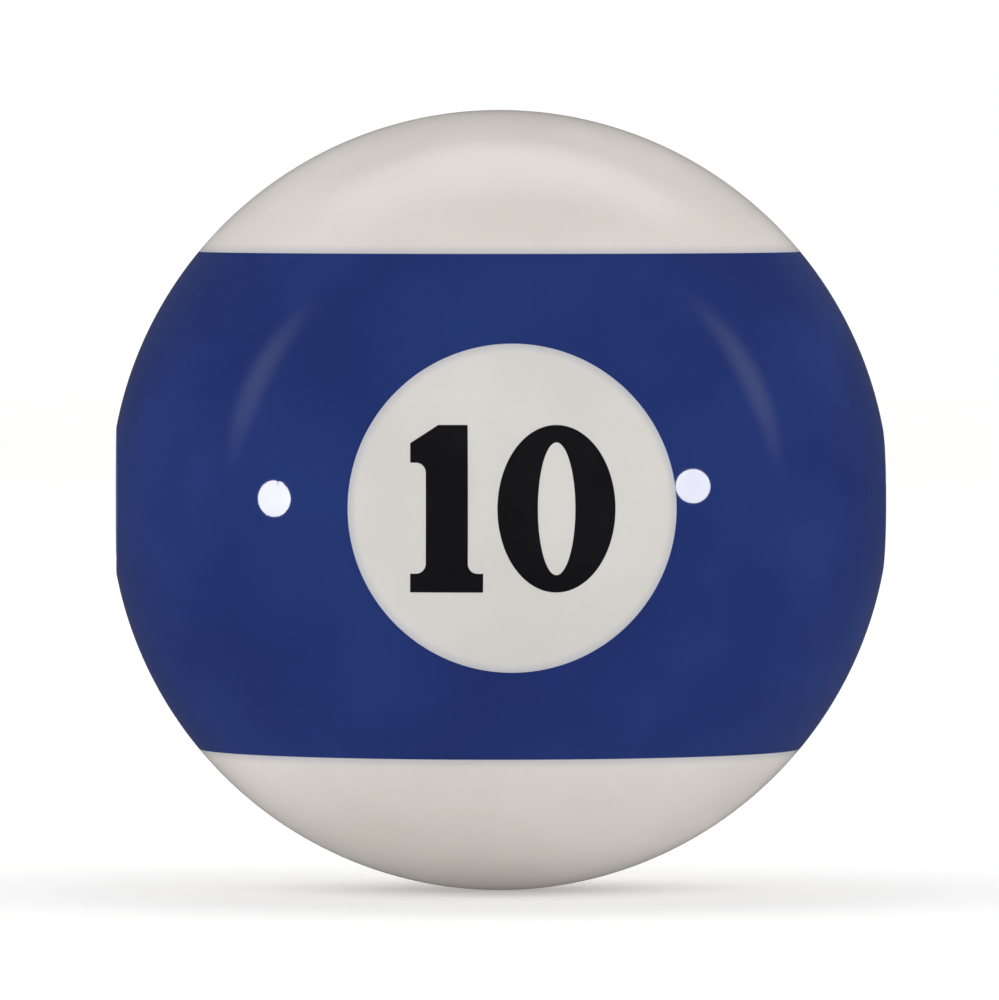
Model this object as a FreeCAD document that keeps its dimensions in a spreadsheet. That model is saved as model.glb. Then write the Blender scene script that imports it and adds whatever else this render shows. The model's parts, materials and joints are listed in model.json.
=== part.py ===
"""Numbered pool ball, number 10, drilled through for a lamp rod.

A striped ball is cast in stages from thermosetting resin and polished to one flush sphere: a blue
slab through the middle, an ivory cap on each side of it, two ivory number discs set in the slab
and black digits set in the discs. The rod hole is drilled last, along X.

Millimetres. The origin is the centre of the sphere, X runs along the rod, -Y is the front number
and +Z is up as the numbers read.
"""

import FreeCAD, Part
import math
import os
import Sketcher

DIMENSIONS = {
    "ball_diameter": 57.15,
    "stripe_width": 36.4,  # from one edge plane of the stripe to the other
    "bore_diameter": 10.3,  # clearance for a 3/8 inch (1/8 IP) lamp rod
    "mouth_bevel": 0.25,  # 45 degree break at each mouth of the bore
    "disc_diameter": 23.6,
    "disc_depth": 6.0,  # from the top of the sphere down to the disc's flat seat
    "digit_depth": 3.0,  # from the top of the sphere down to the digits' flat seat
    "digit_height": 12.0,
    "digit_gap": 1.0,  # between the foot of the one and the zero
    "one_foot_width": 5.2,
    "one_foot_height": 1.35,
    "one_stem_width": 3.0,
    "one_flag_reach": 1.1,  # from the stem out to the tip of the flag
    "one_flag_lead": 0.9,  # from the stem's left side to where the top starts to slope
    "one_flag_drop": 1.3,  # from the top down to the tip of the flag
    "one_flag_height": 1.4,  # of the flag's upright end
    "one_bracket": 0.7,  # radius where the stem meets the foot and the flag
    "bracket_limit": 0.9,  # the most of a ledge that a bracket may take up
    "zero_width": 8.5,
    "zero_side_width": 2.9,  # thickness of the zero at half its height
    "zero_crown_height": 1.25,  # thickness of the zero at its top and bottom
    "tool_overshoot": 1.0,  # how far a cutting tool runs past the face that it cuts
}

RADIUS = "Dims.ball_diameter / 2"
STRIPE_LATITUDE = "asin(Dims.stripe_width / Dims.ball_diameter)"

# Across and up from the disc's centre. The pair of digits is centred on the disc.
PAIR_WIDTH = "(Dims.one_foot_width + Dims.digit_gap + Dims.zero_width)"
TOP = "(Dims.digit_height / 2)"
BOTTOM = "(-Dims.digit_height / 2)"
FOOT_LEFT = f"(-{PAIR_WIDTH} / 2)"
FOOT_RIGHT = f"({FOOT_LEFT} + Dims.one_foot_width)"
FOOT_TOP = f"({BOTTOM} + Dims.one_foot_height)"
FOOT_LEDGE = "((Dims.one_foot_width - Dims.one_stem_width) / 2)"
STEM_LEFT = f"({FOOT_LEFT} + {FOOT_LEDGE})"
STEM_RIGHT = f"({STEM_LEFT} + Dims.one_stem_width)"
FLAG_LEFT = f"({STEM_LEFT} - Dims.one_flag_reach)"
FLAG_TOP = f"({TOP} - Dims.one_flag_drop)"
FLAG_UNDER = f"({FLAG_TOP} - Dims.one_flag_height)"
NARROW_LEDGE = f"min({FOOT_LEDGE}; Dims.one_flag_reach)"
BRACKET = f"min(Dims.one_bracket; Dims.bracket_limit * {NARROW_LEDGE})"
ZERO_CENTRE = f"({PAIR_WIDTH} / 2 - Dims.zero_width / 2)"

# Each number's side of the ball: the turn about Z that faces it, and the sign of its way out on Y.
SIDES = {"front": (0, -1), "rear": (180, 1)}

doc = FreeCAD.newDocument("NumberedPoolBall")


def make_sheet():
    """The driving dimensions, one named cell each."""
    sheet = doc.addObject("Spreadsheet::Sheet", "Dims")
    for row, (name, value) in enumerate(DIMENSIONS.items(), start=1):
        sheet.set(f"A{row}", name)
        sheet.set(f"B{row}", str(value))
        sheet.setAlias(f"B{row}", name)
    doc.recompute()


def add(kind, name, **bindings):
    """A document object whose named properties are bound to expressions in the dimensions."""
    item = doc.addObject(kind, name)
    for prop, expression in bindings.items():
        item.setExpression(prop, expression)
    return item


def combine(kind, name, base, tool):
    """Part::Cut or Part::Common of two objects."""
    item = doc.addObject(kind, name)
    item.Base = base
    item.Tool = tool
    return item


def between_latitudes(name, low, high):
    """The slice of the ball between two latitudes in degrees, flat where it is sliced."""
    return add("Part::Sphere", name, Radius=RADIUS, Angle1=low, Angle2=high)


def make_bore_tool():
    """The drill along X, with a 45 degree bevel at each mouth.

    The bevel's rim is a circle on the sphere, at sqrt(R^2 - rim^2) from the middle, and the cone
    narrows to the drill's radius over a length equal to the bevel.
    """
    radius = "Dims.bore_diameter / 2"
    rim_at = f"sqrt(pow({RADIUS}; 2) - pow({radius} + Dims.mouth_bevel; 2))"
    half_length = f"({RADIUS} + Dims.tool_overshoot)"
    drill = add("Part::Cylinder", "bore_drill", Radius=radius, Height=f"2 * {half_length}")
    drill.Placement.Rotation = FreeCAD.Rotation(FreeCAD.Vector(0, 1, 0), 90)
    drill.setExpression("Placement.Base.x", f"-{half_length}")
    cutters = [drill]
    for side, sign in (("left", -1), ("right", 1)):
        bevel = add(
            "Part::Cone",
            f"bore_bevel_{side}",
            Radius1=radius,
            Radius2=f"{radius} + Dims.mouth_bevel + Dims.tool_overshoot",
            Height="Dims.mouth_bevel + Dims.tool_overshoot",
        )
        bevel.Placement.Rotation = FreeCAD.Rotation(FreeCAD.Vector(0, 1, 0), sign * 90)
        bevel.setExpression("Placement.Base.x", f"{sign} * ({rim_at} - Dims.mouth_bevel)")
        cutters.append(bevel)
    bore = doc.addObject("Part::MultiFuse", "bore_tool")
    bore.Shapes = cutters
    return bore


def seat(item, side, depth, quarter_turn=0):
    """Turns a drawing's across, up and outward onto one side of the ball, at its flat seat.

    The front faces -Y and the rear faces +Y, and each reads upright from outside. A quarter turn
    in degrees turns the drawing in its own plane first.
    """
    yaw, out = SIDES[side]
    in_plane = FreeCAD.Rotation(FreeCAD.Vector(0, 0, 1), quarter_turn)
    item.Placement.Rotation = FreeCAD.Rotation(yaw, 0, 90) * in_plane
    item.setExpression("Placement.Base.y", f"{out} * ({RADIUS} - {depth})")


def make_disc_bar(side):
    """The round bar that a number disc is ground from, from its seat out past the sphere."""
    bar = add(
        "Part::Cylinder",
        f"{side}_disc_bar",
        Radius="Dims.disc_diameter / 2",
        Height="Dims.disc_depth + Dims.tool_overshoot",
    )
    seat(bar, side, "Dims.disc_depth")
    return bar


def extrude(outline, side):
    """An outline on a digit's seat, carried straight out past the sphere."""
    bar = add(
        "Part::Extrusion",
        f"{outline.Name}_bar",
        LengthFwd="Dims.digit_depth + Dims.tool_overshoot",
    )
    bar.Base = outline
    bar.DirMode = "Custom"
    bar.Dir = FreeCAD.Vector(0, SIDES[side][1], 0)
    bar.Solid = True
    return bar


def outline_edge(start, end, leaves):
    """A straight edge, or the quarter arc of a bracket, which leaves a level or upright line.

    The outline runs anticlockwise and a bracket is hollow, so its arc is drawn from its end back
    to its start.
    """
    if not leaves:
        return Part.LineSegment(start, end)
    level, upright = (start, end) if leaves == "level" else (end, start)
    centre = FreeCAD.Vector(level.x, upright.y, 0)
    first = math.atan2(end.y - centre.y, end.x - centre.x)
    circle = Part.Circle(centre, FreeCAD.Vector(0, 0, 1), start.distanceToPoint(centre))
    return Part.ArcOfCircle(circle, first, first + math.pi / 2)


def draw_one(side):
    """The outline of the figure one: a slab foot, a stem and a flag.

    Each corner is across, up and, where a bracket leaves it, the line that the bracket leaves.
    """
    corners = [
        (FOOT_LEFT, BOTTOM, None),
        (FOOT_RIGHT, BOTTOM, None),
        (FOOT_RIGHT, FOOT_TOP, None),
        (f"{STEM_RIGHT} + {BRACKET}", FOOT_TOP, "level"),
        (STEM_RIGHT, f"{FOOT_TOP} + {BRACKET}", None),
        (STEM_RIGHT, TOP, None),
        (f"{STEM_LEFT} + Dims.one_flag_lead", TOP, None),
        (FLAG_LEFT, FLAG_TOP, None),
        (FLAG_LEFT, FLAG_UNDER, None),
        (f"{STEM_LEFT} - {BRACKET}", FLAG_UNDER, "level"),
        (STEM_LEFT, f"{FLAG_UNDER} - {BRACKET}", None),
        (STEM_LEFT, f"{FOOT_TOP} + {BRACKET}", "upright"),
        (f"{STEM_LEFT} - {BRACKET}", FOOT_TOP, None),
        (FOOT_LEFT, FOOT_TOP, None),
    ]
    sketch = doc.addObject("Sketcher::SketchObject", f"{side}_one")
    places = [
        FreeCAD.Vector(float(sketch.evalExpression(x)), float(sketch.evalExpression(y)), 0)
        for x, y, _ in corners
    ]
    count = len(corners)
    for i, (_, _, leaves) in enumerate(corners):
        sketch.addGeometry(outline_edge(places[i], places[(i + 1) % count], leaves))
    # an edge's first and second ends along the outline, which an arc stores the other way round
    ends = [(2, 1) if leaves else (1, 2) for _, _, leaves in corners]
    for i, (across, up, leaves) in enumerate(corners):
        after = (i + 1) % count
        sketch.addConstraint(Sketcher.Constraint("Coincident", i, ends[i][1], after, ends[after][0]))
        for kind, value, expression in (
            ("DistanceX", places[i].x, across),
            ("DistanceY", places[i].y, up),
        ):
            held = Sketcher.Constraint(kind, -1, 1, i, ends[i][0], value)
            sketch.setExpression(f"Constraints[{sketch.addConstraint(held)}]", expression)
        if leaves:
            radius = Sketcher.Constraint("Radius", i, sketch.Geometry[i].Radius)
            sketch.setExpression(f"Constraints[{sketch.addConstraint(radius)}]", BRACKET)
    seat(sketch, side, "Dims.digit_depth")
    return sketch


def draw_oval(name, side, half_height, half_width):
    """An upright ellipse about the middle of the zero."""
    oval = add("Part::Ellipse", name, MajorRadius=half_height, MinorRadius=half_width)
    seat(oval, side, "Dims.digit_depth", quarter_turn=90)
    right = -SIDES[side][1]  # the reader's right, along X
    oval.setExpression("Placement.Base.x", f"{right} * {ZERO_CENTRE}")
    return oval


def make_zero_bar(side):
    """The zero: an oval ring, thick at its sides and thin at its crown and foot."""
    outer = draw_oval(f"{side}_zero_outer", side, TOP, "Dims.zero_width / 2")
    counter = draw_oval(
        f"{side}_zero_counter",
        side,
        f"{TOP} - Dims.zero_crown_height",
        "Dims.zero_width / 2 - Dims.zero_side_width",
    )
    return combine("Part::Cut", f"{side}_zero_bar", extrude(outer, side), extrude(counter, side))


def make_number(side, ball):
    """A number disc and its two digits, all ground to the sphere, and the disc's bar."""
    disc_bar = make_disc_bar(side)
    one_bar = extrude(draw_one(side), side)
    zero_bar = make_zero_bar(side)
    blank = combine("Part::Common", f"{side}_disc_blank", ball, disc_bar)
    without_one = combine("Part::Cut", f"{side}_disc_one_pocket", blank, one_bar)
    disc = combine("Part::Cut", f"{side}_number_disc", without_one, zero_bar)
    one = combine("Part::Common", f"{side}_digit_one", ball, one_bar)
    zero = combine("Part::Common", f"{side}_digit_zero", ball, zero_bar)
    return disc_bar, [disc, one, zero]


def make_ball():
    """Every sub-part of the ball, in the order that it is cast."""
    make_sheet()
    ball = add("Part::Sphere", "ball", Radius=RADIUS)
    slab = between_latitudes("stripe_slab", f"-{STRIPE_LATITUDE}", STRIPE_LATITUDE)
    upper_cap = between_latitudes("upper_cap", STRIPE_LATITUDE, "90")
    lower_cap = between_latitudes("lower_cap", "-90", f"-{STRIPE_LATITUDE}")
    front_bar, front = make_number("front", ball)
    rear_bar, rear = make_number("rear", ball)
    drilled = combine("Part::Cut", "stripe_drilled", slab, make_bore_tool())
    pocketed = combine("Part::Cut", "stripe_front_pocket", drilled, front_bar)
    stripe_centre = combine("Part::Cut", "stripe_centre", pocketed, rear_bar)
    return [stripe_centre, upper_cap, lower_cap] + front + rear


def check(parts):
    """Stops if any object failed to recompute, or a sub-part isn't one closed, valid solid."""
    for item in doc.Objects:
        if "Invalid" in item.State or "Error" in item.State:
            raise RuntimeError(f"{item.Name} failed: {item.State}")
    for part in parts:
        shape = part.Shape
        if shape.isNull() or not shape.isValid() or len(shape.Solids) != 1:
            raise RuntimeError(f"{part.Label} isn't one valid solid")


def main():
    parts = make_ball()
    doc.recompute()
    for part in parts:
        part.Label = part.Name
    check(parts)
    os.makedirs("parts", exist_ok=True)
    for part in parts:
        part.Shape.exportStep(f"parts/{part.Label}.step")
        box = part.Shape.BoundBox
        print(
            f"{part.Label}: {part.Shape.Volume:.1f} mm3,"
            f" {box.XLength:.2f} x {box.YLength:.2f} x {box.ZLength:.2f} mm"
        )
    print(f"all sub-parts: {sum(part.Shape.Volume for part in parts):.1f} mm3")


main()
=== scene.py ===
# %% [markdown]
# # A numbered pool ball, drilled for a lamp rod
#
# A striped pool ball looks like a printed sphere, but nothing on it is printed. It is cast from
# coloured resin in stages, so its stripe, its number disc and its digits are solid pieces that
# were ground and polished together into one flush ball. This lesson builds each of those pieces
# as its own closed surface, gives each resin its own material, and lights the ball so that the
# polish shows.
#
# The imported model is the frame: it fixes every size and place. Here it gets its finished skin.

# %% Load the frame
import json
import math

import bpy
import numpy as np
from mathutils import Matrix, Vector
from mathutils.geometry import delaunay_2d_cdt


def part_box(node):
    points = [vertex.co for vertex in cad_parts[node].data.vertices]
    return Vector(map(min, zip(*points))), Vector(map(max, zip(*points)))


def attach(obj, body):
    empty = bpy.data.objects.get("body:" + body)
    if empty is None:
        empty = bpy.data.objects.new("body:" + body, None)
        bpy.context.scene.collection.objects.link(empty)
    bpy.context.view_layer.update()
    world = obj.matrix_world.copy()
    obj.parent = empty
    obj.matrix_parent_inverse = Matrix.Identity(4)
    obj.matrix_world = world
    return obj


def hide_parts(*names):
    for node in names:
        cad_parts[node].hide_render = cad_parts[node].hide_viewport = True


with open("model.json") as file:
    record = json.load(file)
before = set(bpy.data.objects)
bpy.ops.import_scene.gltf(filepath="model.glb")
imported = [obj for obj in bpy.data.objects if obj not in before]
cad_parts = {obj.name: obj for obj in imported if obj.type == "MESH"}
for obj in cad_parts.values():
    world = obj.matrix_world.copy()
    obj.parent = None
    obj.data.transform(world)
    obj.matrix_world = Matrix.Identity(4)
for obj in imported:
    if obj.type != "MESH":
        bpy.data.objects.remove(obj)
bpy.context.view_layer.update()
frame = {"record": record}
MM = 0.001  # the scene is in metres, and small sizes are named in millimetres

# %% [markdown]
# ## Sizes from the frame
#
# The ball's centre is the origin, X runs along the drilled hole, the front number faces -Y and Z
# is up. Reading the sizes from the frame's own boxes, rather than typing them again, keeps the
# skin flush with the solid that it covers.

# %% Read the ball's sizes
cap_low, cap_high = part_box("upper_cap")
disc_low, disc_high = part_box("front_number_disc")
one_low, one_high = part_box("front_digit_one")
zero_low, zero_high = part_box("front_digit_zero")
bore = frame["record"]["mounts"][0]

RADIUS = cap_high.z
STRIPE_EDGE = cap_low.z  # the stripe's upper edge plane, and its lower one with a minus sign
DISC_RADIUS = (disc_high.z - disc_low.z) / 2
DISC_SEAT = -disc_high.y  # distance of the disc's flat back from the ball's centre
DIGIT_SEAT = -one_high.y
BORE_RADIUS = bore["dims"]["r_mm"] * MM
BORE_HALF_LENGTH = bore["dims"]["length_mm"] * MM / 2
MOUTH_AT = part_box("stripe_centre")[1].x  # where the bore's bevel meets the sphere
MOUTH_RADIUS = math.sqrt(RADIUS**2 - MOUTH_AT**2)
print(f"ball {2 * RADIUS / MM:.2f} mm, stripe {2 * STRIPE_EDGE / MM:.2f} mm")
print(f"disc {2 * DISC_RADIUS / MM:.2f} mm, bore {2 * BORE_RADIUS / MM:.2f} mm")
print(f"mouth of the bore {2 * MOUTH_RADIUS / MM:.2f} mm")

# %% [markdown]
# ## A closed piece from arrays
#
# Each piece is a handful of patches: arrays of points with the faces between them. A polished
# sphere shows every error in its shading, because it mirrors the room, so each patch also brings
# the exact direction its surface faces at every point. On the ball that is simply the direction
# from the centre, and the mirror image stays smooth however the faces are cut.
#
# Patches that meet share the same border points. Welding those points closes the piece, which a
# count of the edges then proves: in a closed surface every edge belongs to exactly two faces.

# %% Patches, and the piece they make
AROUND = 384  # points round every rim, the same on each piece so that neighbours meet exactly
NO_LENGTH = 1e-30  # keeps a face without area from dividing by zero


def grid_faces(rows, columns):
    """Quads over a grid of points, row by row, whose last column joins its first."""
    row, column = np.meshgrid(np.arange(rows - 1), np.arange(columns), indexing="ij")
    after = (column + 1) % columns
    corners = [
        row * columns + column,
        (row + 1) * columns + column,
        (row + 1) * columns + after,
        row * columns + after,
    ]
    return np.stack(corners, axis=-1).reshape(-1, 4)


def grid_patch(points, normals=None, finish=0):
    """A patch from a grid of points, rows by columns by three, closed in its columns."""
    rows, columns, _ = points.shape
    flat_normals = None if normals is None else normals.reshape(-1, 3)
    return {
        "points": points.reshape(-1, 3),
        "faces": grid_faces(rows, columns),
        "normals": flat_normals,
        "finish": finish,
    }


def fan_patch(ring, middle, normals=None, finish=0):
    """Triangles from a ring to its middle point, facing the side from which it runs anticlockwise."""
    index = np.arange(len(ring))
    faces = np.stack([index, np.roll(index, -1), np.full(len(ring), len(ring))], axis=-1)
    points = np.vstack([ring, middle])
    return {"points": points, "faces": faces, "normals": normals, "finish": finish}


def turned_over(patch):
    """The same patch with its faces wound the other way. Normals that it was given stay."""
    return {**patch, "faces": patch["faces"][:, ::-1]}


def outward(points):
    """The direction from the ball's centre, which is the way a sphere faces at each point."""
    return points / np.linalg.norm(points, axis=-1, keepdims=True)


def face_normals(points, faces):
    """The way each flat face points: the cross product of its two diagonals or edges."""
    a, b, c = points[faces[:, 0]], points[faces[:, 1]], points[faces[:, 2]]
    d = points[faces[:, -1]]
    crossed = np.cross(c - a, d - b) if faces.shape[1] == 4 else np.cross(b - a, c - a)
    length = np.linalg.norm(crossed, axis=1, keepdims=True)
    return crossed / np.maximum(length, NO_LENGTH)


WELD = 1e-7  # points nearer than this, in metres, are one point


def make_mesh(name, patches, materials):
    """Welds patches into one mesh object and keeps the exact direction of every corner."""
    offset, points, loops, sizes, corner_normals, finishes = 0, [], [], [], [], []
    for patch in patches:
        faces = patch["faces"]
        if patch["normals"] is None:
            flat = face_normals(patch["points"], faces)
            corner_normals.append(np.repeat(flat, faces.shape[1], axis=0))
        else:
            corner_normals.append(patch["normals"][faces.ravel()])
        points.append(patch["points"])
        loops.append(faces.ravel() + offset)
        sizes.append(np.full(len(faces), faces.shape[1]))
        finishes.append(np.full(len(faces), patch["finish"]))
        offset += len(patch["points"])
    points, loops, sizes = np.vstack(points), np.concatenate(loops), np.concatenate(sizes)
    keys = np.round(points / WELD).astype(np.int64)
    _, first, welded = np.unique(keys, axis=0, return_index=True, return_inverse=True)

    mesh = bpy.data.meshes.new(name)
    mesh.vertices.add(len(first))
    mesh.vertices.foreach_set("co", points[first].ravel())
    mesh.loops.add(len(loops))
    mesh.loops.foreach_set("vertex_index", welded.reshape(-1)[loops])
    mesh.polygons.add(len(sizes))
    mesh.polygons.foreach_set("loop_start", np.cumsum(sizes) - sizes)
    mesh.polygons.foreach_set("material_index", np.concatenate(finishes))
    mesh.update(calc_edges=True)
    mesh.normals_split_custom_set(np.vstack(corner_normals).tolist())
    for material in materials:
        mesh.materials.append(material)
    made = bpy.data.objects.new(name, mesh)
    bpy.context.scene.collection.objects.link(made)
    return made


def measure(piece):
    """Prints a piece's triangles, its volume and how many of its edges don't join two faces."""
    mesh = piece.data
    mesh.calc_loop_triangles()
    corners = np.empty(3 * len(mesh.loop_triangles), np.int32)
    mesh.loop_triangles.foreach_get("vertices", corners)
    points = np.empty(3 * len(mesh.vertices))
    mesh.vertices.foreach_get("co", points)
    a, b, c = points.reshape(-1, 3)[corners.reshape(-1, 3).T]
    volume = np.einsum("ij,ij->i", a, np.cross(b, c)).sum() / 6
    loop_edges = np.empty(len(mesh.loops), np.int32)
    mesh.loops.foreach_get("edge_index", loop_edges)
    unpaired = int((np.bincount(loop_edges) != 2).sum())
    cubic = volume / MM**3
    print(f"{piece.name}: {len(corners) // 3} triangles, {cubic:.1f} mm3, {unpaired} edges not closed")


# %% [markdown]
# ## The blue stripe
#
# On the real ball the stripe is a slab of blue resin right through the middle. Its outer face is
# a band of the sphere with four round holes in it: a number disc at the front and the back, and
# a mouth of the drilled hole at each side. A plain grid of meridians and parallels would cut
# those rims into steps, so the band is made as four quarters, each a grid whose first row is a
# round rim and whose last row is the quarter's square border.
#
# A drill breaks out a few grains where it leaves polished resin, so the mouths get small nicks.

# %% The stripe's rims and quarters
ANGLES = -math.pi / 4 + 2 * math.pi * np.arange(AROUND) / AROUND
UP = np.array([0.0, 0.0, 1.0])


def facing(out):
    """Across, up and out for one side of the ball, with across times up pointing out."""
    out = np.array(out, float)
    return np.cross(UP, out), UP, out


FRONT, REAR = facing((0, -1, 0)), facing((0, 1, 0))
RIGHT, LEFT = facing((1, 0, 0)), facing((-1, 0, 0))


def in_side(side, across, up, out):
    """Points from their distances across, up and out on one side of the ball."""
    return across[:, None] * side[0] + up[:, None] * side[1] + out[:, None] * side[2]


def rim(side, radius, out=None):
    """A circle on one side: on the sphere, at sqrt(R^2 - radius^2), unless its distance is given."""
    radius = radius * np.ones(AROUND)
    out = np.sqrt(RADIUS**2 - radius**2) if out is None else out * np.ones(AROUND)
    return in_side(side, radius * np.cos(ANGLES), radius * np.sin(ANGLES), out)


def quarter_border(side):
    """The square border of a quarter of the stripe, anticlockwise from its lower right corner.

    The upright sides take even steps of height at 45 degrees of azimuth, and the level sides take
    even steps of azimuth at the stripe's edges.
    """
    rising = np.linspace(-1, 1, AROUND // 4, endpoint=False)
    end = np.ones(AROUND // 4)
    azimuth = math.pi / 4 * np.concatenate([end, -rising, -end, rising])
    height = STRIPE_EDGE * np.concatenate([rising, end, -rising, -end])
    level = np.sqrt(RADIUS**2 - height**2)
    return in_side(side, level * np.sin(azimuth), height, level * np.cos(azimuth))


def sphere_between(inner, outer, rows):
    """A grid from one ring to another: straight lines between them, pushed out to the sphere."""
    share = np.linspace(0, 1, rows)[:, None, None]
    directions = outward((1 - share) * inner + share * outer)
    return grid_patch(RADIUS * directions, directions)


# %% Nicks at the mouths of the bore
NICKS = 11  # at each mouth
NICK_DEPTH = (0.02 * MM, 0.16 * MM)
NICK_WIDTH = (0.012, 0.045)  # radians round the rim
nick_choice = np.random.default_rng(10)


def nicked_radius():
    """The mouth's radius round its rim: a few narrow bells of different depth and width."""
    place = nick_choice.uniform(-math.pi, math.pi, NICKS)
    depth = nick_choice.uniform(*NICK_DEPTH, NICKS)
    width = nick_choice.uniform(*NICK_WIDTH, NICKS)
    away = np.angle(np.exp(1j * (ANGLES[:, None] - place)))
    return MOUTH_RADIUS + (depth * np.exp(-((away / width) ** 2))).sum(axis=1)


# %% [markdown]
# ## The drilled hole
#
# The hole was drilled after the ball was polished, so its wall is a cut surface and not a gloss
# one. It is one tube from mouth to mouth with a narrow 45 degree bevel at each end. The bevels
# and the wall share the tube's rings but keep their own directions, so the edges stay crisp.

# %% The stripe's bore, pockets and covers
POLISHED, DRILLED = 0, 1  # places in the stripe's list of materials
SAME_ANGLE = (3 * AROUND // 4 - np.arange(AROUND)) % AROUND  # the left rim's order seen from the right
BORE_RINGS = 29
ROWS_ROUND_DISC, ROWS_ROUND_MOUTH = 21, 33


def bore_patches(right_mouth, left_mouth):
    """A bevel, the wall and the other bevel, from the right mouth along -X to the left one."""
    right_end = rim(RIGHT, BORE_RADIUS, BORE_HALF_LENGTH)
    left_end = rim(LEFT, BORE_RADIUS, BORE_HALF_LENGTH)[SAME_ANGLE]
    share = np.linspace(0, 1, BORE_RINGS)[:, None, None]
    wall = (1 - share) * right_end + share * left_end
    towards_axis = -wall * np.array([0, 1, 1]) / BORE_RADIUS
    grids = [
        grid_patch(np.stack([right_mouth, right_end]), finish=DRILLED),
        grid_patch(wall, towards_axis, finish=DRILLED),
        grid_patch(np.stack([left_end, left_mouth[SAME_ANGLE]]), finish=DRILLED),
    ]
    return [turned_over(grid) for grid in grids]


def pocket_patches(side):
    """The wall and the flat seat of a number disc's pocket."""
    mouth, seat = rim(side, DISC_RADIUS), rim(side, DISC_RADIUS, DISC_SEAT)
    return [turned_over(grid_patch(np.stack([mouth, seat]))), fan_patch(seat, DISC_SEAT * side[2])]


def level_ring(height):
    """The ring of the sphere at one height, anticlockwise from above."""
    level = math.sqrt(RADIUS**2 - height**2)
    return np.stack([level * np.cos(ANGLES), level * np.sin(ANGLES), np.full(AROUND, height)], axis=1)


def stripe_patches():
    """Four quarters of the band, the bore, two pockets and the slab's flat top and underside."""
    right_mouth = rim(RIGHT, nicked_radius())
    left_mouth = rim(LEFT, nicked_radius())
    quarters = [
        sphere_between(rim(FRONT, DISC_RADIUS), quarter_border(FRONT), ROWS_ROUND_DISC),
        sphere_between(rim(REAR, DISC_RADIUS), quarter_border(REAR), ROWS_ROUND_DISC),
        sphere_between(right_mouth, quarter_border(RIGHT), ROWS_ROUND_MOUTH),
        sphere_between(left_mouth, quarter_border(LEFT), ROWS_ROUND_MOUTH),
    ]
    covers = [
        fan_patch(level_ring(STRIPE_EDGE), STRIPE_EDGE * UP),
        turned_over(fan_patch(level_ring(-STRIPE_EDGE), -STRIPE_EDGE * UP)),
    ]
    bore_tube = bore_patches(right_mouth, left_mouth)
    return quarters + bore_tube + pocket_patches(FRONT) + pocket_patches(REAR) + covers


# %% [markdown]
# ## The ivory caps
#
# Each cap is the profile of the sphere above or below the stripe, turned round the Z axis: rings
# of latitude that close in a fan at the pole, and one flat face where the cap meets the slab.

# %% The caps' faces
CAP_ROWS = 36


def cap_patches(sign):
    """Rings from the top down, at even steps of latitude, with a pole and a flat face."""
    edge = math.asin(STRIPE_EDGE / RADIUS)
    latitude = np.linspace(edge, math.pi / 2, CAP_ROWS, endpoint=False)
    latitude = latitude[::-1] if sign > 0 else -latitude
    rings = np.stack([level_ring(RADIUS * math.sin(angle)) for angle in latitude])
    pole_ring, flat_ring = (rings[0], rings[-1]) if sign > 0 else (rings[-1], rings[0])
    pole = sign * RADIUS * UP
    crown = fan_patch(pole_ring, pole, outward(np.vstack([pole_ring, pole])))
    flat = fan_patch(flat_ring, sign * STRIPE_EDGE * UP)
    ends = [crown, turned_over(flat)] if sign > 0 else [turned_over(crown), flat]
    return [grid_patch(rings, outward(rings))] + ends


# %% [markdown]
# ## The numbers
#
# A number is a round ivory plug set in the stripe, with black digits set in the plug. Seen flat,
# the plug's face is a circle with the outlines of the digits in it. Those outlines are curves
# worked out from a few sizes: the one is a slab figure with hollow quarter circles where its stem
# meets the foot and the flag, and the zero is one ellipse inside another.
#
# No grid follows such outlines, so the flat face is triangulated once with every outline kept as
# an edge. Plug and digits then take their own triangles of it, lifted onto the sphere, which is
# why they meet without a gap or a step.

# %% The outlines of the digits
STEM_WIDTH = 3.0 * MM
FOOT_HEIGHT = 1.35 * MM
FLAG_REACH = 1.1 * MM
FLAG_LEAD = 0.9 * MM
FLAG_DROP = 1.3 * MM
FLAG_HEIGHT = 1.4 * MM
BRACKET = 0.7 * MM
ZERO_SIDE = 2.9 * MM
ZERO_CROWN = 1.25 * MM
BRACKET_POINTS, OVAL_POINTS = 9, 120
OUTLINE_STEP = 0.25 * MM
FILL_STEP = 0.55 * MM


def bracket(across, up, start):
    """A hollow quarter circle round its centre, clockwise from a start angle in degrees."""
    angle = np.radians(start - np.linspace(0, 90, BRACKET_POINTS))
    return np.stack([across + BRACKET * np.cos(angle), up + BRACKET * np.sin(angle)], axis=1)


def one_outline():
    """The figure one, anticlockwise from the lower left corner of its foot."""
    left, right, bottom, top = one_low.x, one_high.x, one_low.z, one_high.z
    stem_left = (left + right - STEM_WIDTH) / 2
    stem_right = stem_left + STEM_WIDTH
    foot_top = bottom + FOOT_HEIGHT
    flag_left, flag_top = stem_left - FLAG_REACH, top - FLAG_DROP
    flag_under = flag_top - FLAG_HEIGHT
    return np.vstack([
        [(left, bottom), (right, bottom), (right, foot_top)],
        bracket(stem_right + BRACKET, foot_top + BRACKET, 270),
        [(stem_right, top), (stem_left + FLAG_LEAD, top), (flag_left, flag_top), (flag_left, flag_under)],
        bracket(stem_left - BRACKET, flag_under - BRACKET, 90),
        bracket(stem_left - BRACKET, foot_top + BRACKET, 0),
        [(left, foot_top)],
    ])


def oval(half_width, half_height):
    """An ellipse about the middle of the zero, anticlockwise."""
    angle = 2 * math.pi * np.arange(OVAL_POINTS) / OVAL_POINTS
    middle = (zero_low.x + zero_high.x) / 2
    return np.stack([middle + half_width * np.cos(angle), half_height * np.sin(angle)], axis=1)


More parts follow.
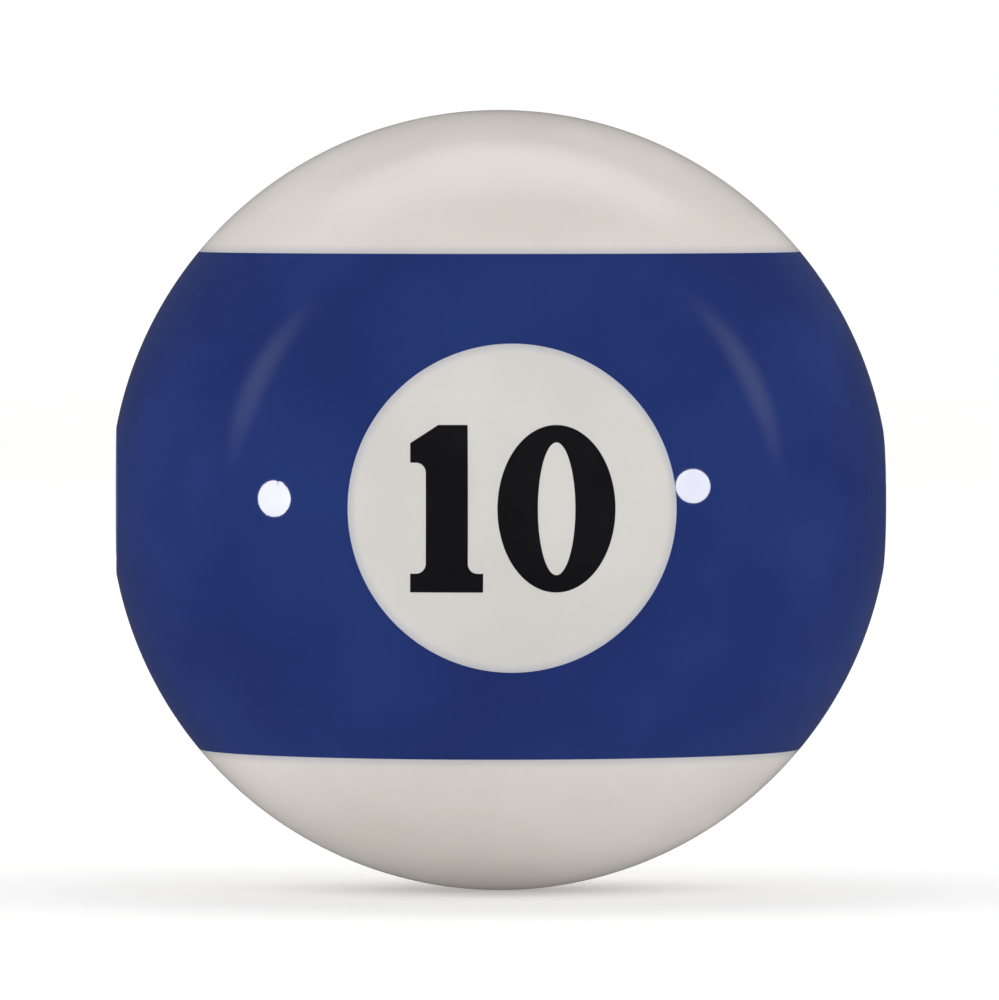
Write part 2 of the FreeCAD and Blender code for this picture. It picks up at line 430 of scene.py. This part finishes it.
def divided(outline, step):
    """The outline with points added so that no edge is longer than the step."""
    edge = np.roll(outline, -1, axis=0) - outline
    pieces = np.ceil(np.linalg.norm(edge, axis=1) / step).astype(int)
    start = np.repeat(np.arange(len(outline)), pieces)
    share = (np.arange(pieces.sum()) - np.repeat(np.cumsum(pieces) - pieces, pieces)) / pieces[start]
    return outline[start] + share[:, None] * edge[start]


half_width, half_height = (zero_high.x - zero_low.x) / 2, (zero_high.z - zero_low.z) / 2
OUTLINES = {
    "disc": DISC_RADIUS * np.stack([np.cos(ANGLES), np.sin(ANGLES)], axis=1),
    "one": divided(one_outline(), OUTLINE_STEP),
    "zero": oval(half_width, half_height),
    "counter": oval(half_width - ZERO_SIDE, half_height - ZERO_CROWN),
}

# %% The flat face, triangulated once


def inside(outline, points):
    """Even-odd rule: inside if a line to the right crosses the outline an odd number of times."""
    start, end = outline, np.roll(outline, -1, axis=0)
    height = points[:, 1, None]
    crosses = (start[:, 1] > height) != (end[:, 1] > height)
    rise = np.where(start[:, 1] == end[:, 1], 1.0, end[:, 1] - start[:, 1])
    crossing = start[:, 0] + (height - start[:, 1]) * (end[:, 0] - start[:, 0]) / rise
    return (crosses & (points[:, 0, None] < crossing)).sum(axis=1) % 2 == 1


def fill_points():
    """Rows of points that fill the disc, every other row shifted, clear of every outline."""
    count = int(DISC_RADIUS / FILL_STEP) + 1
    row, column = np.meshgrid(np.arange(-count, count + 1), np.arange(-count, count + 1), indexing="ij")
    points = FILL_STEP * np.stack([column + 0.5 * (row % 2), row], axis=-1).reshape(-1, 2)
    borders = np.vstack(list(OUTLINES.values()))
    clear = np.linalg.norm(points[:, None] - borders, axis=2).min(axis=1) > 0.5 * FILL_STEP
    return points[clear & (np.linalg.norm(points, axis=1) < DISC_RADIUS)]


def triangulate():
    """The disc's flat points, its triangles, and the outlines as places in the list of points."""
    outlines = list(OUTLINES.values())
    first = np.cumsum([0] + [len(outline) for outline in outlines])
    edges = np.vstack([
        np.stack([start + np.arange(len(o)), start + (np.arange(len(o)) + 1) % len(o)], axis=1)
        for start, o in zip(first, outlines)
    ])
    points = np.vstack(outlines + [fill_points()]) / MM
    found = delaunay_2d_cdt(points.tolist(), edges.tolist(), [], 0, WELD / MM)
    flat = np.array([tuple(v) for v in found[0]]) * MM
    loops = {
        name: np.linalg.norm(flat - outline[:, None], axis=2).argmin(axis=1)
        for name, outline in OUTLINES.items()
    }
    return flat, np.array(found[2]), loops


FLAT, TRIANGLES, LOOPS = triangulate()
middles = FLAT[TRIANGLES].mean(axis=1)
IN_ONE = inside(OUTLINES["one"], middles)
IN_ZERO = inside(OUTLINES["zero"], middles) & ~inside(OUTLINES["counter"], middles)
print(f"number face: {len(FLAT)} points, {len(TRIANGLES)} triangles")

# %% Plugs and digits from the flat face


def face_patch(side, triangles, seat=None):
    """Triangles of the flat face, on the sphere and facing out, or flat at a seat."""
    out = np.sqrt(RADIUS**2 - (FLAT**2).sum(axis=1)) if seat is None else np.full(len(FLAT), seat)
    points = in_side(side, FLAT[:, 0], FLAT[:, 1], out)
    normals = outward(points) if seat is None else None
    return {"points": points, "faces": triangles, "normals": normals, "finish": 0}


def wall_patch(side, loop, seat):
    """The wall under an outline: from the sphere straight in to the seat."""
    flat = FLAT[LOOPS[loop]]
    out = np.sqrt(RADIUS**2 - (flat**2).sum(axis=1))
    top = in_side(side, flat[:, 0], flat[:, 1], out)
    foot = in_side(side, flat[:, 0], flat[:, 1], np.full(len(flat), seat))
    return grid_patch(np.stack([top, foot]))


def plug_patches(side):
    """The ivory plug: its face round the digits, their pockets, its round wall and flat back."""
    digits = IN_ONE | IN_ZERO
    return [
        face_patch(side, TRIANGLES[~digits]),
        face_patch(side, TRIANGLES[digits], DIGIT_SEAT),
        turned_over(face_patch(side, TRIANGLES, DISC_SEAT)),
        wall_patch(side, "disc", DISC_SEAT),
        turned_over(wall_patch(side, "one", DIGIT_SEAT)),
        turned_over(wall_patch(side, "zero", DIGIT_SEAT)),
        wall_patch(side, "counter", DIGIT_SEAT),
    ]


def digit_patches(side, triangles, solid, hole=None):
    """A black digit: its face on the sphere, its flat back, and the walls of its outlines."""
    patches = [
        face_patch(side, triangles),
        turned_over(face_patch(side, triangles, DIGIT_SEAT)),
        wall_patch(side, solid, DIGIT_SEAT),
    ]
    return patches + ([turned_over(wall_patch(side, hole, DIGIT_SEAT))] if hole else [])


# %% [markdown]
# ## How a finish is written
#
# Colours are given as the hex values that a screen shows, and one function turns them to the
# linear light that a renderer works in. One more function adds a node with its settings and
# links. Every pattern reads Object coordinates, in metres, so its scale is one over a real size,
# and a noise that must differ from another takes its own place in a fourth dimension, W.

# %% Colours and nodes


def linear(shown):
    """An sRGB hex colour as linear light: ((c + 0.055) / 1.055) to the power 2.4 above the toe."""
    channels = np.array([int(shown[i : i + 2], 16) for i in (1, 3, 5)]) / 255
    bright = ((channels + 0.055) / 1.055) ** 2.4
    return (*np.where(channels > 0.04045, bright, channels / 12.92), 1.0)


def add_node(owner, kind, inputs=(), output=None, **settings):
    """Adds a node with its settings, then sets each input or links it to another node's output.

    Inputs go by name, or by number where a node gives two inputs one name. It returns the output
    that is asked for, or else the first one that the settings leave in use.
    """
    tree = owner.node_tree
    node = tree.nodes.new("ShaderNode" + kind)
    for name, value in settings.items():
        setattr(node, name, value)
    in_use = [socket for socket in node.inputs if socket.enabled]
    by_name = {socket.name: socket for socket in in_use}
    for place, value in dict(inputs).items():
        socket = in_use[place] if isinstance(place, int) else by_name[place]
        if isinstance(value, bpy.types.NodeSocket):
            tree.links.new(value, socket)
        else:
            socket.default_value = value
    return node.outputs[output] if output else next((s for s in node.outputs if s.enabled), None)


def new_material(name):
    """An empty material, with the Object coordinates that all its patterns read."""
    material = bpy.data.materials.new(name)
    material.use_nodes = True
    material.node_tree.nodes.clear()
    return material, add_node(material, "TexCoord", output="Object")


# %% [markdown]
# ## What polishing leaves
#
# Cast phenolic resin is ground round and then tumbled with ever finer polish. The result is very
# glossy but not perfect, and the marks are the same on every colour because the whole ball is
# polished at once:
#
# - the surface rises and falls a little over a few millimetres, which bends its reflections;
# - buffing leaves hairlines, finer than can be seen, so they are drawn 0.06 mm wide;
# - handling leaves patches where the polish mirrors less.
#
# The first two are one relief, added up in metres, so that a single Bump node shades them both.
# The polish is the shader's coat, which does all the mirroring, so the patches are a weaker coat
# and the body under it has no reflection of its own.

# %% The polished surface
WAVE_SIZE, WAVE_RISE = 6.0 * MM, 0.003 * MM
HAIRLINE_CELL, HAIRLINE_WIDTH, HAIRLINE_DEPTH = 8.0 * MM, 0.06 * MM, 0.0015 * MM
HAIRLINE_STRETCH = 5.0  # a scratch runs this many times further along than across
HAIRLINE_LAYERS = (((0.3, 0.9, 0.2), 11.0), ((1.2, -0.5, 1.9), 12.0), ((-0.8, 1.7, 0.6), 13.0))  # turn, seed
HANDLING_SIZE = 9.0 * MM
CLEAN_COAT, HANDLED_COAT = 0.74, 0.6
RESIN_IOR = 1.6
GLOSS = 0.03  # the coat's roughness


def hairlines(material, place, turn, seed):
    """The borders of long thin cells, and only where a slow noise leaves them."""
    stretch = (1.0, 1.0, 1 / HAIRLINE_STRETCH)
    along = add_node(material, "Mapping", {"Vector": place, "Rotation": turn, "Scale": stretch})
    cells = {"Vector": along, "Scale": 1 / HAIRLINE_CELL}
    away = add_node(material, "TexVoronoi", cells, feature="DISTANCE_TO_EDGE")
    width = HAIRLINE_WIDTH / HAIRLINE_CELL
    line = {"Value": away, "From Min": 0.0, "From Max": width, "To Min": 1.0, "To Max": 0.0}
    scratch = add_node(material, "MapRange", line, interpolation_type="SMOOTHSTEP")
    slow = {"Vector": place, "W": seed, "Scale": 1 / HANDLING_SIZE}
    rubbed = add_node(material, "TexNoise", slow, noise_dimensions="4D")
    left = {"Value": rubbed, "From Min": 0.45, "From Max": 0.62}
    share = add_node(material, "MapRange", left, interpolation_type="SMOOTHSTEP")
    return add_node(material, "Math", {0: scratch, 1: share}, operation="MULTIPLY")


def polish(material, place):
    """The shader inputs of the polished ball: its relief and its mirroring coat."""
    waves = {"Vector": place, "Scale": 1 / WAVE_SIZE, "Detail": 1.0}
    wave = add_node(material, "TexNoise", waves)
    height = add_node(material, "Math", {0: wave, 1: WAVE_RISE}, operation="MULTIPLY")
    for turn, seed in HAIRLINE_LAYERS:
        cut = {0: hairlines(material, place, turn, seed), 1: -HAIRLINE_DEPTH, 2: height}
        height = add_node(material, "Math", cut, operation="MULTIPLY_ADD")
    relief = add_node(material, "Bump", {"Height": height, "Distance": 1.0})
    hands = {"Vector": place, "W": 7.0, "Scale": 1 / HANDLING_SIZE, "Detail": 4.0}
    handled = {
        "Value": add_node(material, "TexNoise", hands, noise_dimensions="4D"),
        "From Min": 0.5,
        "From Max": 0.7,
        "To Min": CLEAN_COAT,
        "To Max": HANDLED_COAT,
    }
    return {
        "Normal": relief,
        "Coat Normal": relief,
        "Coat Weight": add_node(material, "MapRange", handled, interpolation_type="SMOOTHSTEP"),
        "Coat Roughness": GLOSS,
        "Coat IOR": RESIN_IOR,
        "Specular IOR Level": 0.0,
    }


# %% [markdown]
# ## The resins
#
# The pigment is stirred into the resin before it is cast, so a colour is never quite even: it
# clouds over a centimetre or so and has a grain of a fraction of a millimetre. Each resin is
# therefore two close shades. Ivory resin also lets a little light in. Next to the blue slab its
# colour is painted darker and bluer, a painted shade and blue tint that stand in for light lost
# to the blue beside it. The painted band follows from the piece's own sizes: the height above
# the stripe's edge on a cap, and the distance from the rim on a number plug.

# %% A polished resin
CLOUD_SIZE, GRAIN_SIZE = 14 * MM, 0.5 * MM
GRAIN_SHARE = 0.1
SEAM_SHADE_COLOUR = linear("#A3A6B4")  # painted shade and blue tint laid on the ivory beside the blue
SEAM_SHADE_REACH = 0.7 * MM  # how far from a seam the painted shade reaches


def pigment(material, place, pale, deep):
    """Two shades of one resin: large soft clouds with a fine grain over them."""
    large = {"Vector": place, "W": 1.0, "Scale": 1 / CLOUD_SIZE, "Detail": 3.0}
    clouds = add_node(material, "TexNoise", large, noise_dimensions="4D")
    small = {"Vector": place, "W": 2.0, "Scale": 1 / GRAIN_SIZE, "Detail": 1.0}
    grain = add_node(material, "TexNoise", small, noise_dimensions="4D")
    both = {0: grain, 1: GRAIN_SHARE, 2: clouds}
    mixed = add_node(material, "Math", both, operation="MULTIPLY_ADD")
    span = {"Value": mixed, "From Min": 0.35, "From Max": 0.85}
    share = add_node(material, "MapRange", span, interpolation_type="SMOOTHSTEP")
    shades = {"Factor": share, "A": linear(deep), "B": linear(pale)}
    return add_node(material, "Mix", shades, data_type="RGBA")


def above_seam(material, place):
    """Height above or below the stripe's nearer edge, in metres: |z| less the edge's height."""
    height = add_node(material, "SeparateXYZ", {"Vector": place}, output="Z")
    from_middle = add_node(material, "Math", {0: height}, operation="ABSOLUTE")
    return add_node(material, "Math", {0: from_middle, 1: STRIPE_EDGE}, operation="SUBTRACT")


def inside_rim(material, place):
    """Distance inside the number disc's rim, in metres: its radius less the root of x^2 + z^2."""
    flat = add_node(material, "VectorMath", {0: place, 1: (1.0, 0.0, 1.0)}, operation="MULTIPLY")
    from_middle = add_node(material, "VectorMath", {0: flat}, operation="LENGTH")
    return add_node(material, "Math", {0: DISC_RADIUS, 1: from_middle}, operation="SUBTRACT")


def polished_resin(name, pale, deep, from_seam=None, **inputs):
    """A cast resin with the ball's polish, with a painted shade and blue tint near the seam that from_seam
    measures.
    """
    material, place = new_material(name)
    colour = pigment(material, place, pale, deep)
    if from_seam:
        # Painted shade: the colour is mixed up to halfway towards a dark blue-grey at the seam, fading out
        # 0.7 mm away.
        depth = from_seam(material, place)
        fade = {"Value": depth, "From Min": 0.0, "From Max": SEAM_SHADE_REACH, "To Min": 0.5, "To Max": 0.0}
        share = add_node(material, "MapRange", fade, interpolation_type="SMOOTHSTEP")
        painted_seam_shade = {"Factor": share, "A": colour, "B": SEAM_SHADE_COLOUR}
        colour = add_node(material, "Mix", painted_seam_shade, data_type="RGBA")
    shader = {"Base Color": colour, **polish(material, place), **inputs}
    add_node(material, "OutputMaterial", {"Surface": add_node(material, "BsdfPrincipled", shader)})
    return material


# %% Blue, ivory, number and black resins
# Ivory and number resin are lightly filled, so light goes in a little way and comes out warmer.
TRANSLUCENT = {
    "Subsurface Weight": 0.2,
    "Subsurface Radius": (1.0, 0.75, 0.5),
    "Subsurface Scale": 0.8 * MM,
}
# Cast blue resin: deep and opaque, so the eye sees the lamps in its polish before its colour.
blue_resin = polished_resin("blue_phenolic_resin_polished", "#233671", "#1D2C63")
# Cast ivory resin: a warm off-white that looks milky, because light enters it, with a painted shade and blue
# tint along the stripe's edges.
ivory_resin = polished_resin("ivory_phenolic_resin_polished", "#DBD6D1", "#D1CBC5", above_seam, **TRANSLUCENT)
# The number plug's resin: the same but a little greyer, so its rim reads as a separate piece, with a painted
# shade and blue tint along its rim.
number_resin = polished_resin("number_plug_resin_polished", "#D3D1CD", "#C9C6C2", inside_rim, **TRANSLUCENT)
# Cast black resin: near black, so that only its gloss shows.
black_resin = polished_resin("black_inlay_resin_polished", "#151418", "#0C0B0D")

# %% [markdown]
# **Drilled blue resin.** A drill leaves the resin unpolished: paler, because its broken surface
# scatters white light, and ringed by the drill's feed. The feed of a drill this size is about
# 0.3 mm a turn, and the wall between the rings is torn into a fine chatter.

# %% The drilled wall
FEED, FEED_RIDGE = 0.3 * MM, 0.012 * MM
CHATTER_SIZE, CHATTER_RISE = 0.15 * MM, 0.02 * MM
BANDS_PER_UNIT = 20 / (2 * math.pi)  # of a Wave texture at a scale of 1


def drilled_resin(name):
    """Torn, matte resin: feed rings round the bore's axis with a fine chatter over them."""
    material, place = new_material(name)
    feed = {"Vector": place, "Scale": 1 / (FEED * BANDS_PER_UNIT), "Distortion": 0.6, "Detail": 2.0}
    rings = add_node(material, "TexWave", feed, output="Fac", bands_direction="X")
    torn = {"Vector": place, "Scale": 1 / CHATTER_SIZE, "Detail": 3.0}
    chatter = add_node(material, "TexNoise", torn)
    ridges = add_node(material, "Math", {0: rings, 1: FEED_RIDGE}, operation="MULTIPLY")
    both = {0: chatter, 1: CHATTER_RISE, 2: ridges}
    height = add_node(material, "Math", both, operation="MULTIPLY_ADD")
    relief = add_node(material, "Bump", {"Height": height, "Distance": 1.0})
    shades = {"Factor": chatter, "A": linear("#34447E"), "B": linear("#6B78A8")}
    colour = add_node(material, "Mix", shades, data_type="RGBA")
    shader = {"Base Color": colour, "Roughness": 0.6, "Normal": relief, "IOR": RESIN_IOR}
    add_node(material, "OutputMaterial", {"Surface": add_node(material, "BsdfPrincipled", shader)})
    return material


drilled_blue_resin = drilled_resin("blue_phenolic_resin_drilled")

# %% [markdown]
# ## The finished pieces
#
# Each finished piece stands for one solid of the frame and rides on the ball's only body.

# %% Make every piece


def finished(name, node, patches, materials):
    """A finished piece in place of one CAD node."""
    piece = make_mesh(name, patches, materials)
    measure(piece)
    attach(piece, "root")
    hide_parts(node)
    return piece


finished("blue_stripe", "stripe_centre", stripe_patches(), [blue_resin, drilled_blue_resin])
finished("upper_ivory_cap", "upper_cap", cap_patches(1), [ivory_resin])
finished("lower_ivory_cap", "lower_cap", cap_patches(-1), [ivory_resin])
for side_name, side in (("front", FRONT), ("rear", REAR)):
    plug, one, zero = (f"{side_name}_{part}" for part in ("number_disc", "digit_one", "digit_zero"))
    finished(f"{side_name}_number_plug", plug, plug_patches(side), [number_resin])
    one_patches = digit_patches(side, TRIANGLES[IN_ONE], "one")
    finished(f"{side_name}_inlaid_one", one, one_patches, [black_resin])
    zero_patches = digit_patches(side, TRIANGLES[IN_ZERO], "zero", "counter")
    finished(f"{side_name}_inlaid_zero", zero, zero_patches, [black_resin])

# %% [markdown]
# ## The studio paper
#
# The ball rests on pale paper that curves up into a wall all round it, which gives an even
# surround with no horizon from any side. The paper is a profile turned round Z.
#
# A polished ball mirrors everything round it, and white paper on all sides would wash its colour
# out. A studio hangs black cloth to keep such reflections down. Here the paper is simply left out
# of glossy reflections.

# %% The paper
FLOOR_RADIUS, COVE_RADIUS, WALL_TOP = 1.7, 0.8, 2.4
INNER_RADIUS = 0.01
PAPER_AROUND, FLOOR_ROWS, COVE_ROWS = 128, 24, 25
FIBRE_SIZE, FIBRE_RISE = 2 * MM, 0.02 * MM
LIT_THROUGH = 0.22  # the sheet is translucent, and lamps behind it add this much light


def paper_patches():
    """A flat floor, a quarter circle up and an upright wall, turned round Z, under the ball."""
    turn = np.linspace(0, math.pi / 2, COVE_ROWS)
    flat = np.geomspace(INNER_RADIUS, FLOOR_RADIUS, FLOOR_ROWS, endpoint=False)
    out = np.concatenate([flat, FLOOR_RADIUS + COVE_RADIUS * np.sin(turn), [FLOOR_RADIUS + COVE_RADIUS]])
    up = np.concatenate([0 * flat, COVE_RADIUS * (1 - np.cos(turn)), [WALL_TOP]]) - RADIUS
    angle = np.linspace(0, 2 * math.pi, PAPER_AROUND, endpoint=False)
    across, along = out[:, None] * np.cos(angle), out[:, None] * np.sin(angle)
    rings = np.stack([across, along, np.repeat(up[:, None], PAPER_AROUND, axis=1)], axis=-1)
    return [grid_patch(rings), fan_patch(rings[0], -RADIUS * UP)]


def matte_paper(name):
    """Uncoated paper: nearly no gloss, a faint cloud of fibres, and light that comes through."""
    material, place = new_material(name)
    fibre = add_node(material, "TexNoise", {"Vector": place, "Scale": 1 / FIBRE_SIZE, "Detail": 4.0})
    relief = add_node(material, "Bump", {"Height": fibre, "Distance": FIBRE_RISE})
    shades = {"Factor": fibre, "A": linear("#EFEFEE"), "B": linear("#F5F5F4")}
    colour = add_node(material, "Mix", shades, data_type="RGBA")
    shader = {"Base Color": colour, "Roughness": 0.95, "Normal": relief}
    shader.update({"Emission Color": linear("#FFFFFF"), "Emission Strength": LIT_THROUGH})
    add_node(material, "OutputMaterial", {"Surface": add_node(material, "BsdfPrincipled", shader)})
    return material


paper = make_mesh("studio_paper", paper_patches(), [matte_paper("pale_studio_paper")])
paper.visible_glossy = False

# %% [markdown]
# ## The camera
#
# The view is almost level with the ball's centre and a touch to its left, from far away with a
# long lens, so the stripe's edges stay nearly straight.

# %% Camera
CAMERA_AZIMUTH, CAMERA_ELEVATION = math.radians(-2.0), math.radians(1.3)
CAMERA_DISTANCE = 1.2
BALL_SHARE = 0.78  # of the view's width
SENSOR_WIDTH = 36.0

to_camera = np.array([
    math.sin(CAMERA_AZIMUTH) * math.cos(CAMERA_ELEVATION),
    -math.cos(CAMERA_AZIMUTH) * math.cos(CAMERA_ELEVATION),
    math.sin(CAMERA_ELEVATION),
])
camera_right = np.array([math.cos(CAMERA_AZIMUTH), math.sin(CAMERA_AZIMUTH), 0.0])
camera_up = np.cross(camera_right, -to_camera)
camera_data = bpy.data.cameras.new("camera")
camera_data.sensor_width = SENSOR_WIDTH
camera_data.lens = SENSOR_WIDTH * CAMERA_DISTANCE * BALL_SHARE / (2 * RADIUS)
camera = bpy.data.objects.new("camera", camera_data)
camera.location = CAMERA_DISTANCE * to_camera
camera.rotation_euler = Vector(-to_camera).to_track_quat("-Z", "Y").to_euler()
bpy.context.scene.collection.objects.link(camera)
bpy.context.scene.camera = camera

# %% [markdown]
# ## The lights
#
# Two small lamps each leave a bright point on the ball, one on each side of the number. A mirror
# ball shows a lamp where its surface points halfway between the lamp and the eye, so the lamp for
# a chosen point is found by reflecting the line of sight there: with n the surface's direction
# and v the direction to the eye, the lamp lies along 2 (n . v) n - v.
#
# A large softbox above and behind shows as a pale arc in the upper cap, and two tall dim panels at
# the sides draw soft upright streaks in the stripe. Real softboxes are brightest in the middle,
# so each fades towards its edge.

# %% Lights


def add_light(name, place, width, height, power, middle=1.0):
    """An oval lamp or a softbox that faces the ball, with sizes in metres and power in watts.

    Middle is the share of its half width that is at full strength, and the rest fades out.
    """
    data = bpy.data.lights.new(name, "AREA")
    data.shape = "ELLIPSE" if middle == 1.0 else "RECTANGLE"
    data.size, data.size_y = width, height
    data.energy = power
    if middle < 1.0:
        data.use_nodes = True
        data.node_tree.nodes.clear()
        place_on = add_node(data, "NewGeometry", output="Parametric")
        centred = {0: place_on, 1: (2.0, 2.0, 0.0), 2: (-1.0, -1.0, 0.0)}
        from_middle = add_node(data, "VectorMath", centred, operation="MULTIPLY_ADD")
        away = add_node(data, "VectorMath", {0: from_middle}, operation="LENGTH")
        fade = {"Value": away, "From Min": middle, "From Max": 1.0, "To Min": 1.0, "To Max": 0.0}
        strength = add_node(data, "MapRange", fade, interpolation_type="SMOOTHSTEP")
        glow = add_node(data, "Emission", {"Strength": strength})
        add_node(data, "OutputLight", {"Surface": glow})
    light = bpy.data.objects.new(name, data)
    light.location = place
    light.rotation_euler = Vector(-np.array(place)).to_track_quat("-Z", "Y").to_euler()
    bpy.context.scene.collection.objects.link(light)


def lamp_for_highlight(across, up, distance):
    """Where a lamp has to be to show across and up from the ball's centre as the camera sees it."""
    towards = math.sqrt(RADIUS**2 - across**2 - up**2)
    surface = (across * camera_right + up * camera_up + towards * to_camera) / RADIUS
    to_eye = outward(CAMERA_DISTANCE * to_camera - RADIUS * surface)
    return RADIUS * surface + distance * (2 * np.dot(surface, to_eye) * surface - to_eye)


def to_the_side(azimuth, height, distance):
    """A point at an azimuth in degrees, which is 0 at the front and 90 on the right."""
    angle = math.radians(azimuth)
    return (distance * math.sin(angle), -distance * math.cos(angle), height)


LAMP_DISTANCE, PANEL_DISTANCE, PANEL_HEIGHT, PANEL_AZIMUTH = 0.42, 1.1, 0.55, 88
LAMP = {"width": 0.088, "height": 0.066, "power": 0.34}
PANEL = {"width": 0.3, "height": 1.1, "power": 0.7, "middle": 0.1}
SOFTBOX = {"width": 2.4, "height": 1.1, "power": 11.0, "middle": 0.2}
SOFTBOX_PLACE = (0.0, 0.65, 1.3)
add_light("left_lamp", lamp_for_highlight(-16.2 * MM, 0.1 * MM, LAMP_DISTANCE), **LAMP)
add_light("right_lamp", lamp_for_highlight(13.9 * MM, 1.0 * MM, LAMP_DISTANCE), **LAMP)
add_light("left_panel", to_the_side(-PANEL_AZIMUTH, PANEL_HEIGHT, PANEL_DISTANCE), **PANEL)
add_light("right_panel", to_the_side(PANEL_AZIMUTH, PANEL_HEIGHT, PANEL_DISTANCE), **PANEL)
add_light("overhead_softbox", SOFTBOX_PLACE, **SOFTBOX)

# %% [markdown]
# The room's own light is even and bright, but reflections see it dim, as if the space behind the
# lamps were dark.

# %% The room's light
ROOM_LIGHT, ROOM_IN_REFLECTIONS = 0.76, 0.07

world = bpy.data.worlds.new("studio_room")
world.use_nodes = True
world.node_tree.nodes.clear()
in_reflection = add_node(world, "LightPath", output="Is Glossy Ray")
seen = {"Value": in_reflection, "To Min": ROOM_LIGHT, "To Max": ROOM_IN_REFLECTIONS}
strength = add_node(world, "MapRange", seen)
background = add_node(world, "Background", {"Color": linear("#FFFFFF"), "Strength": strength})
add_node(world, "OutputWorld", {"Surface": background})
bpy.context.scene.world = world
bpy.context.scene.view_settings.view_transform = "Standard"
